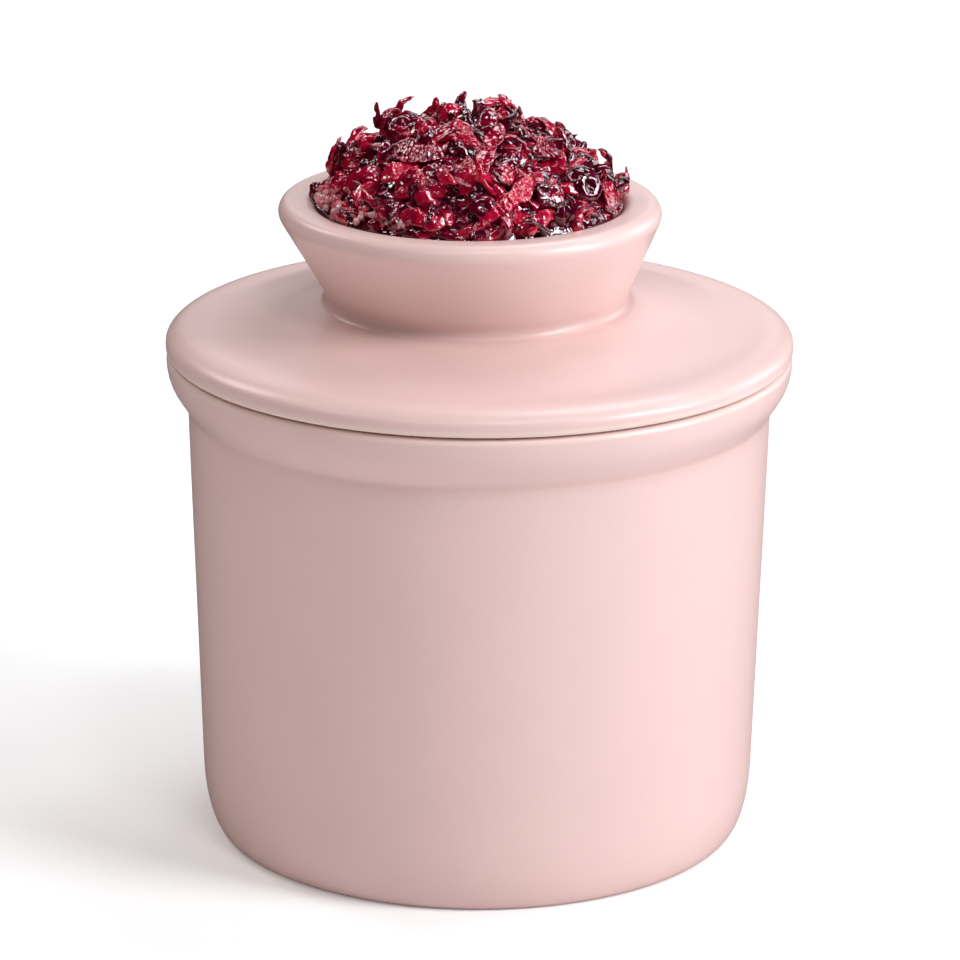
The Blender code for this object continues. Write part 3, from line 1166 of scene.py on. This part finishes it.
@dataclass(frozen=True)
class Peel:
    """A long piece of fruit that lies over the heap, through three spots given as (bearing, radius, lift)."""

    start: tuple[float, float, float]
    middle: tuple[float, float, float]
    end: tuple[float, float, float]
    width: float
    tint: float
    thickness: float = 0.0012
    bluntness: float = 2.6
    rib: float = 0.00010
    rib_pitch: float = 0.0012
    rib_slant: float = 1.2
    fray: float = 0.5
    fray_size: float = 0.004
    fray_spread: float = 90.0
    cup: float = 0.25
    crumple: float = 0.0008
    crumple_size: float = 0.0026
    rings: int = 44
    sides: int = 16

    def mesh_into(self, whole: bmesh.types.BMesh, heap: "JamHeap") -> None:
        """Adds the peel.

        Args:
            whole: the mesh to add it to.
            heap: the heap that it lies on.
        """
        tint, strand = whole.verts.layers.float["tint"], whole.verts.layers.float_vector["strand"]
        spots = [heap.spot(*place) for place in (self.start, self.middle, self.end)]
        pull = spots[1] * 2 - (spots[0] + spots[2]) / 2
        length = (spots[1] - spots[0]).length + (spots[2] - spots[1]).length
        rows: list[list[bmesh.types.BMVert]] = []
        for ring in range(self.rings + 1):
            t = ring / self.rings
            spine = spots[0] * (1 - t) ** 2 + pull * (2 * t * (1 - t)) + spots[2] * t**2
            ahead = ((pull - spots[0]) * (1 - t) + (spots[2] - pull) * t).normalized()
            out = heap.outwards(spine)
            across = ahead.cross(out).normalized()
            out = across.cross(ahead).normalized()
            full = math.sqrt(max(0.0, 1 - abs(2 * t - 1) ** self.bluntness))
            count = 1 if ring in (0, self.rings) else self.sides
            row = []
            for side in range(count):
                turn = math.tau * side / self.sides
                wide, face = math.cos(turn), math.sin(turn)
                edge = Vector((t * length / self.fray_size, wide, self.tint * self.fray_spread))
                over = wide * self.width / 2 * full * (1 + self.fray * noise.noise(edge))
                phase = math.tau * t * length / self.rib_pitch + self.rib_slant * wide
                rib = self.rib * math.sin(phase) * full
                skin = face * self.thickness / 2 * full + rib + self.cup * wide * over
                place = spine + across * over + out * skin
                place += noise.noise_vector(place / self.crumple_size) * self.crumple * full
                vertex = whole.verts.new(heap.limited(place))
                vertex[tint] = self.tint
                vertex[strand] = (t * length, over, skin)
                row.append(vertex)
            rows.append(row)
        self.skin(whole, rows)

    def skin(self, whole: bmesh.types.BMesh, rows: list[list[bmesh.types.BMVert]]) -> None:
        """Joins rows of points with faces.

        Args:
            whole: the mesh that the points are in.
            rows: the rows, the first and the last of them a single point.
        """
        for first, second in zip(rows, rows[1:]):
            for side in range(self.sides):
                after = (side + 1) % self.sides
                if len(first) == 1:
                    whole.faces.new((first[0], second[after], second[side]))
                elif len(second) == 1:
                    whole.faces.new((first[side], first[after], second[0]))
                else:
                    whole.faces.new((first[side], first[after], second[after], second[side]))


@dataclass(frozen=True)
class Berry:
    """A whole berry, dimpled at its top, part sunk in the heap."""

    bearing: float
    radius: float
    lift: float
    size: float
    tint: float
    face: tuple[float, float] = (0.6, 0.0)
    dimple: float = 0.35
    dimple_width: float = 0.3
    lump: float = 0.0003
    lump_size: float = 0.003
    rings: int = 22
    sides: int = 28

    def mesh_into(self, whole: bmesh.types.BMesh, heap: "JamHeap") -> None:
        """Adds the berry.

        Args:
            whole: the mesh to add it to.
            heap: the heap that it lies in.
        """
        tint = whole.verts.layers.float["tint"]
        centre = heap.spot(self.bearing, self.radius, self.lift)
        aim = heap.outwards(centre) + Vector((self.face[1], -self.face[0], 0))
        turned = aim.to_track_quat("Z", "Y").to_matrix()
        made = bmesh.ops.create_uvsphere(
            whole, u_segments=self.sides, v_segments=self.rings, radius=1.0
        )
        for vertex in made["verts"]:
            ball = vertex.co.copy()
            near = math.exp(-((ball.x**2 + ball.y**2) / self.dimple_width**2)) * max(0.0, ball.z)
            ball *= 1 - self.dimple * near
            place = centre + turned @ (ball * self.size)
            place += noise.noise_vector(place / self.lump_size) * self.lump
            vertex.co = heap.limited(place)
            vertex[tint] = self.tint


@dataclass
class JamHeap(Piece):
    """The jam heaped in the handle's well: a dark syrupy mound under layers of torn, glossy fruit."""

    well_radius: float = 0.0202
    well_corner: float = 0.0047
    edge_drop: float = 0.0008
    fullness: float = 2.15
    dome_steps: int = 18
    crown: float = 0.0045
    spill: float = 0.0022
    lean: float = 0.089
    gap: float = 0.0004
    headroom: float = 0.0001
    heart: float = 0.35  # depth of the point that the surface faces away from, in radii of the mouth
    sown_below: float = 0.0006
    syrup_tint: float = 0.1
    skin_voxel: float = 0.00041
    skin_smoothing: float = 0.5
    grain_count: int = 96
    grain_seed: int = 3
    crumple_seed: int = 3
    grain_start: float = -178.0
    grain_sweep: float = 66.0
    grain_stray: float = 3.0
    grain_inset: tuple[float, float] = (0.0002, 0.0034)
    grain_size: tuple[float, float] = (0.0004, 0.0009)
    grain_tint: tuple[float, float] = (1.05, 1.75)
    grain_lift: float = 0.0012
    rim: float = field(default_factory=lambda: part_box("bell_lid")[1].z)
    low: Vector = field(default_factory=lambda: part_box("jam_heap")[0])
    high: Vector = field(default_factory=lambda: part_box("jam_heap")[1])

    @property
    def mouth(self) -> float:
        """Radius of the jam where it meets the handle's mouth."""
        return (self.high.y - self.low.y) / 2

    @property
    def axis(self) -> float:
        """The place in X of the middle of the mouth."""
        return (self.high.x + self.low.x) / 2

    @property
    def edge(self) -> float:
        """The height at which the heap meets the handle's mouth."""
        return self.rim - self.edge_drop

    @property
    def lean_above(self) -> float:
        """The height at which the handle's lean starts, from how far off its middle the mouth is."""
        return self.edge + self.axis / self.lean

    def dome(self, radius: float) -> float:
        """Height of the smooth mound at a distance from its axis."""
        rise = self.high.z - self.crown - self.edge
        return self.edge + rise * (1 - (radius / self.mouth) ** self.fullness)

    def outline(self) -> Outline:
        """The mound's outline: the well's shape below and the dome above.

        Returns:
            It, from the middle of the well's floor to the top of the dome.
        """
        corners: list[tuple] = [
            (0, self.low.z),
            (self.well_radius, self.low.z, self.well_corner),
            (self.mouth, self.edge),
        ]
        for step in range(1, self.dome_steps + 1):
            radius = self.mouth * (1 - step / self.dome_steps)
            corners.append((radius, self.dome(radius)))
        return Outline(corners, spacing=0.0008)

    def shared(self, material: bpy.types.Material) -> dict[str, Any]:
        """The inputs that the mound and every layer have in common.

        Args:
            material: the fruit's material.

        Returns:
            The inputs' values, by name.
        """
        return {
            "Axis": self.axis,
            "Rim": self.rim,
            "Mouth": self.mouth - self.gap,
            "Top": self.high.z - self.headroom,
            "Material": material,
        }

    def spot(self, bearing: float, radius: float, lift: float) -> Vector:
        """A spot on the heap.

        Args:
            bearing: its direction from the axis, in degrees from +X towards +Y.
            radius: how far it is from the axis.
            lift: how high it is over the smooth dome.

        Returns:
            The spot.
        """
        turn = math.radians(bearing)
        spread = Vector((self.axis + radius * math.cos(turn), radius * math.sin(turn), 0))
        return spread + Vector((0, 0, self.dome(min(radius, self.mouth)) + lift))

    def outwards(self, spot: Vector) -> Vector:
        """The direction that the heap's surface faces near a spot."""
        return (spot - Vector((self.axis, 0, self.rim - self.mouth * self.heart))).normalized()

    def limited(self, spot: Vector) -> Vector:
        """A spot, kept under the heap's highest point."""
        return Vector((spot.x, spot.y, min(spot.z, self.high.z - self.headroom)))

    def peels(self) -> list[Peel]:
        """The long peels on the heap's front, from the left round to the right."""
        return [
            Peel((-150, 0.0150, 0.0015), (-128, 0.0155, 0.0028), (-108, 0.0130, 0.0015), 0.0046, 0.52),
            Peel((-126, 0.0205, 0.0015), (-114, 0.0200, 0.0026), (-101, 0.0205, 0.0015), 0.0048, 0.78),
            Peel((-136, 0.0200, 0.0022), (-128, 0.0188, 0.0026), (-122, 0.0160, 0.0018), 0.0034, 0.92),
            Peel((-118, 0.0240, 0.0016), (-109, 0.0245, 0.0024), (-98, 0.0238, 0.0012), 0.0030, 0.80),
            Peel((-86, 0.0238, 0.0014), (-70, 0.0218, 0.0030), (-50, 0.0182, 0.0020), 0.0034, 0.95,
                 rib=0.00014),
            Peel((-84, 0.0165, 0.0010), (-72, 0.0120, 0.0022), (-50, 0.0085, 0.0030), 0.0028, 0.66,
                 rib=0.0),
            Peel((-58, 0.0225, 0.0012), (-52, 0.0215, 0.0022), (-49, 0.0190, 0.0012), 0.0046, 0.50,
                 rib=0.0),
            Peel((-68, 0.0250, 0.0014), (-61, 0.0246, 0.0022), (-54, 0.0235, 0.0014), 0.0026, 0.95),
            Peel((-22, 0.0215, 0.0014), (-18, 0.0238, 0.0022), (-24, 0.0252, 0.0012), 0.0036, 0.80),
            Peel((-44, 0.0140, 0.0012), (-30, 0.0150, 0.0024), (-16, 0.0140, 0.0012), 0.0034, 0.45),
            Peel((-98, 0.0150, 0.0010), (-92, 0.0172, 0.0026), (-94, 0.0200, 0.0012), 0.0036, 0.70),
            Peel((-160, 0.0212, 0.0010), (-166, 0.0225, 0.0022), (-174, 0.0208, 0.0010), 0.0034, 0.62),
            Peel((-72, 0.0080, 0.0006), (-62, 0.0062, 0.0024), (-42, 0.0052, 0.0042), 0.0034, 0.50,
                 rib=0.0, thickness=0.0018, fray=0.1, cup=0.0, crumple=0.0003),
            Peel((-128, 0.0105, 0.0008), (-108, 0.0080, 0.0024), (-86, 0.0078, 0.0010), 0.0036, 0.74,
                 rib=0.0),
            Peel((-112, 0.0072, 0.0010), (-94, 0.0098, 0.0022), (-80, 0.0128, 0.0008), 0.0028, 0.86,
                 rib=0.0),
        ]

    def berries(self) -> list[Berry]:
        """The whole berries and round lumps that show."""
        return [
            Berry(-29, 0.0207, 0.0006, 0.0037, 0.14, face=(0.8, 0.3)),
            Berry(-146, 0.0200, 0.0004, 0.0036, 0.62, face=(0.9, -0.2), dimple=0.5),
            Berry(-165, 0.0032, 0.0020, 0.0021, 0.95, face=(0.2, 0.0), dimple=0.0),
            Berry(-140, 0.0090, 0.0010, 0.0018, 0.90, dimple=0.0),
            Berry(-84, 0.0212, 0.0004, 0.0026, 0.30),
            Berry(40, 0.0190, 0.0006, 0.0034, 0.20),
            Berry(128, 0.0200, 0.0006, 0.0036, 0.45),
            Berry(178, 0.0110, 0.0006, 0.0030, 0.30),
        ]

    def pale_grains(self) -> list[Berry]:
        """The small, pale grains along the left of the rim, tinted towards the fruit's pale top colour, which
        is partly painted highlight.

        Returns:
            The grains, from the left round to the front.
        """
        chance = random.Random(self.grain_seed)
        grains = []
        for index in range(self.grain_count):
            along = self.grain_start + self.grain_sweep * index / self.grain_count
            bearing = along + chance.uniform(-self.grain_stray, self.grain_stray)
            radius = self.mouth - chance.uniform(*self.grain_inset)
            size = chance.uniform(*self.grain_size)
            tint = chance.uniform(*self.grain_tint)
            grains.append(Berry(bearing, radius, self.grain_lift, size, tint, dimple=0.0, rings=6, sides=8))
        return grains

    def whole_fruit(self, fruit: bpy.types.Material) -> None:
        """Makes one piece of the peels, berries and grains that lie in places of their own.

        Args:
            fruit: the piece's material.
        """
        noise.seed_set(self.crumple_seed)
        whole = bmesh.new()
        whole.verts.layers.float.new("tint")
        whole.verts.layers.float_vector.new("strand")
        for part in self.peels() + self.berries() + self.pale_grains():
            part.mesh_into(whole, self)
        bmesh.ops.recalc_face_normals(whole, faces=whole.faces)
        made = self.object("jam_whole_fruit", bpy.data.meshes.new("jam_whole_fruit"))
        whole.to_mesh(made.data)
        whole.free()
        made.data.shade_smooth()
        made.data.materials.append(fruit)
        self.keep(made, Body.JAM, "jam")

    def stirred_in(self) -> list[ShredLayer]:
        """The layers that the syrup has run together with.

        Returns:
            The layers.
        """
        lobes = {"Spacing": 0.0038, "Length": 0.0070, "Width": 0.0036, "Thickness": 0.0018, "Rings": 18,
                 "Sides": 12, "Curl": 1.7, "Tilt": 0.55, "Lift": 0.0014, "Seed": 2}
        peels = {"Spacing": 0.0052, "Length": 0.0120, "Width": 0.0030, "Thickness": 0.0013, "Rings": 30,
                 "Sides": 12, "Curl": 1.5, "Tilt": 0.40, "Lift": 0.0018, "Rib": 0.00030, "Warp": 0.0016,
                 "Seed": 7}
        return [ShredLayer("lobes", lobes), ShredLayer("peels", peels)]

    def on_top(self) -> list[ShredLayer]:
        """The layers that lie loose on the rest.

        Returns:
            The layers, which are named as the pieces that they become.
        """
        flakes = {"Spacing": 0.0027, "Length": 0.0052, "Width": 0.0017, "Thickness": 0.0008, "Rings": 11,
                  "Sides": 7, "Curl": 2.0, "Cup": 0.4, "Tilt": 0.5, "Lift": 0.0003, "Rib": 0.0,
                  "Warp": 0.0009, "Warp Size": 0.0032, "Crumple": 0.00012, "Smallest": 0.5, "Largest": 1.3,
                  "Seed": 4}
        threads = {"Spacing": 0.0044, "Length": 0.0092, "Width": 0.0015, "Thickness": 0.0010, "Rings": 22,
                   "Sides": 7, "Curl": 1.5, "Tilt": 0.25, "Lift": 0.0004, "Rib": 0.0, "Warp": 0.0022,
                   "Warp Size": 0.0045, "Crumple": 0.00015, "Seed": 9}
        return [ShredLayer("jam_flakes", flakes), ShredLayer("jam_threads", threads)]

    def build(self, lathe: Lathe, fruit: bpy.types.Material) -> None:
        """Heaps the mound, stirs fruit into it and strews more on top.

        Args:
            lathe: the tree that turns outlines.
            fruit: the material of all of it.
        """
        mound = self.object("mound", self.outline().mesh("jam_outline"))
        lathe.run(mound, {"Segments": 160, "Lean": self.lean, "Lean Above": self.lean_above})
        stir = {"Spill": self.spill, "Reach": self.mouth, "Seed": 5.0}
        Mound().run(mound, self.shared(fruit) | stir)
        shreds = Shreds()
        lowest = {"Lowest": self.rim - self.sown_below}
        sources = [mound]
        for layer in self.stirred_in():
            part = self.object(layer.name, mound.data.copy())
            sources.append(shreds.run(part, self.shared(fruit) | lowest | layer.values))
        heap = self.melted(sources, fruit)
        for layer in self.on_top():
            made = self.object(layer.name, heap.data.copy())
            shreds.run(made, self.shared(fruit) | lowest | layer.values)
            self.keep(made, Body.JAM, "jam")
        self.whole_fruit(fruit)
        for part in sources:
            bpy.data.objects.remove(part)
        self.keep(heap, Body.JAM, "jam", "jam_heap")

    def melted(self, sources: list[bpy.types.Object], fruit: bpy.types.Material) -> bpy.types.Object:
        """Runs pieces together into one wet skin that keeps their tints.

        Args:
            sources: the pieces.
            fruit: the skin's material.

        Returns:
            The skin.
        """
        whole = bmesh.new()
        spots, tints, strands = [], [], []
        for source in sources:
            mesh = source.data
            whole.from_mesh(mesh)
            spots.extend(vertex.co.copy() for vertex in mesh.vertices)
            if "tint" in mesh.attributes:
                tints.extend(item.value for item in mesh.attributes["tint"].data)
                strands.extend(tuple(item.vector) for item in mesh.attributes["strand"].data)
            else:
                tints.extend([self.syrup_tint] * len(mesh.vertices))
                strands.extend([(0.0, 0.0, 0.0)] * len(mesh.vertices))
        skin = self.object("jam_fruit", bpy.data.meshes.new("jam_fruit"))
        whole.to_mesh(skin.data)
        whole.free()
        melt = skin.modifiers.new("melt", "REMESH")
        melt.mode = "VOXEL"
        melt.voxel_size = self.skin_voxel
        smooth = skin.modifiers.new("smooth", "SMOOTH")
        smooth.factor = self.skin_smoothing
        smooth.iterations = 1
        graph = bpy.context.evaluated_depsgraph_get()
        result = bpy.data.meshes.new_from_object(skin.evaluated_get(graph), depsgraph=graph)
        skin.modifiers.clear()
        skin.data = result
        tree = KDTree(len(spots))
        for index, spot in enumerate(spots):
            tree.insert(spot, index)
        tree.balance()
        nearest = [tree.find(vertex.co)[1] for vertex in result.vertices]
        tint = result.attributes.new("tint", "FLOAT", "POINT")
        tint.data.foreach_set("value", [tints[n] for n in nearest])
        strand = result.attributes.new("strand", "FLOAT_VECTOR", "POINT")
        strand.data.foreach_set("vector", [part for n in nearest for part in strands[n]])
        result.shade_smooth()
        result.materials.clear()
        result.materials.append(fruit)
        return skin


@dataclass
class Studio:
    """A pale floor, soft lights and the camera."""

    floor_size: float = 6.0
    floor_colour: tuple[float, float, float] = (0.97, 0.97, 0.97)
    floor_glow: float = 0.08
    lens: float = 200.1
    distance: float = 0.9004
    elevation: float = math.radians(17.708)
    aim_height: float = 0.06016
    aim_right: float = 0.00020
    roll: float = math.radians(0.324)
    sensor: float = 36.0
    light_distance: float = 1.2
    spark_size: float = 0.16
    spark_power: float = 0.75
    room_glow: float = 0.215
    sparks: tuple[tuple[int, int], ...] = ((18, 60), (-22, 48), (-75, 55), (52, 64), (105, 50))

    def floor(self) -> None:
        """Lays the floor that the crock stands on."""
        half = self.floor_size / 2
        mesh = bpy.data.meshes.new("floor")
        corners = [(-half, -half, 0), (half, -half, 0), (half, half, 0), (-half, half, 0)]
        mesh.from_pydata(corners, [], [(0, 1, 2, 3)])
        paint = Finish("floor_paint")
        material, graph, shader = paint.start()
        place = graph.node("ShaderNodeTexCoord").outputs["Object"]
        cloud = graph.node("ShaderNodeTexNoise", {"Vector": place, "Scale": 3.0}).outputs["Fac"]
        tone = [rgba(tuple(c * k for c in self.floor_colour)) for k in (0.99, 1.0)]
        graph.tree.links.new(graph.blend(cloud, *tone), shader.inputs["Base Color"])
        glow = {"Emission Color": rgba(self.floor_colour), "Emission Strength": self.floor_glow}
        paint.set(shader, {"Roughness": 0.9, "Specular IOR Level": 0.1} | glow)
        mesh.materials.append(material)
        made = bpy.data.objects.new("floor", mesh)
        bpy.context.scene.collection.objects.link(made)
        made.visible_glossy = False

    def light(
        self, name: str, bearing: float, elevation: float, size: float, power: float, tone: Tone = Tone.WINDOW
    ) -> None:
        """Adds a square light that faces the crock.

        Args:
            name: its name.
            bearing: where it stands, in degrees from the front towards the right.
            elevation: how high it stands, in degrees.
            size: its width.
            power: its power in watts.
            tone: its colour.
        """
        data = bpy.data.lights.new(name, "AREA")
        data.shape = "SQUARE"
        data.size = size
        data.energy = power
        data.color = tone.value
        lamp = bpy.data.objects.new(name, data)
        turn, rise = math.radians(bearing), math.radians(elevation)
        towards = Vector((math.sin(turn) * math.cos(rise), -math.cos(turn) * math.cos(rise), math.sin(rise)))
        lamp.location = towards * self.light_distance + Vector((0, 0, self.aim_height))
        lamp.rotation_euler = (-towards).to_track_quat("-Z", "Y").to_euler()
        bpy.context.scene.collection.objects.link(lamp)

    def lights(self) -> None:
        """Adds the window on the right, the softer lights, the sparks in the syrup and the room's glow."""
        self.light("key", bearing=65, elevation=35, size=0.42, power=7.0)
        self.light("low_key", bearing=74, elevation=16, size=0.5, power=4.7)
        self.light("back", bearing=150, elevation=60, size=0.5, power=3.6)
        self.light("horizon", bearing=180, elevation=22, size=0.7, power=1.1)
        self.light("edge", bearing=122, elevation=18, size=0.5, power=2.3)
        self.light("top_front", bearing=8, elevation=64, size=0.3, power=1.4, tone=Tone.ROOM)
        self.light("left_back", bearing=-130, elevation=42, size=0.35, power=2.5, tone=Tone.ROOM)
        for turn, rise in self.sparks:
            self.light(f"spark_{turn}_{rise}", turn, rise, self.spark_size, self.spark_power, Tone.ROOM)
        world = bpy.data.worlds.new("room")
        world.use_nodes = True
        background = world.node_tree.nodes["Background"]
        background.inputs["Color"].default_value = rgba(Tone.ROOM.value)
        background.inputs["Strength"].default_value = self.room_glow
        world.cycles_visibility.glossy = False
        bpy.context.scene.world = world

    def camera(self) -> None:
        """Sets the camera, a little above the crock and square to its front."""
        data = bpy.data.cameras.new("camera")
        data.lens = self.lens
        data.sensor_width = self.sensor
        data.clip_start = 0.05
        data.clip_end = 20.0
        made = bpy.data.objects.new("camera", data)
        forward = Vector((0, math.cos(self.elevation), -math.sin(self.elevation)))
        target = Vector((self.aim_right, 0, self.aim_height))
        turned = forward.to_track_quat("-Z", "Y").to_matrix().to_4x4()
        made.matrix_world = (
            Matrix.Translation(target - forward * self.distance) @ turned @ Matrix.Rotation(self.roll, 4, "Z")
        )
        bpy.context.scene.collection.objects.link(made)
        bpy.context.scene.camera = made

    def build(self) -> None:
        """Sets the studio up."""
        self.camera()
        self.floor()
        self.lights()
        bpy.context.scene.view_settings.view_transform = "Standard"
        log.info("studio is set")


def main() -> None:
    """Builds the studio and every piece, in order."""
    logging.basicConfig(level=logging.INFO, format="%(name)s: %(message)s")
    Studio().build()
    lathe = Lathe()
    glaze = PinkGlaze("pink_glaze").material()
    clay = BareClay("bare_clay").material()
    pot = Pot()
    pot.build(lathe, glaze, clay)
    BellLid().build(pot, lathe, glaze)
    JamHeap().build(lathe, CookedFruit("cooked_fruit").material())


if __name__ == "__main__":
    main()
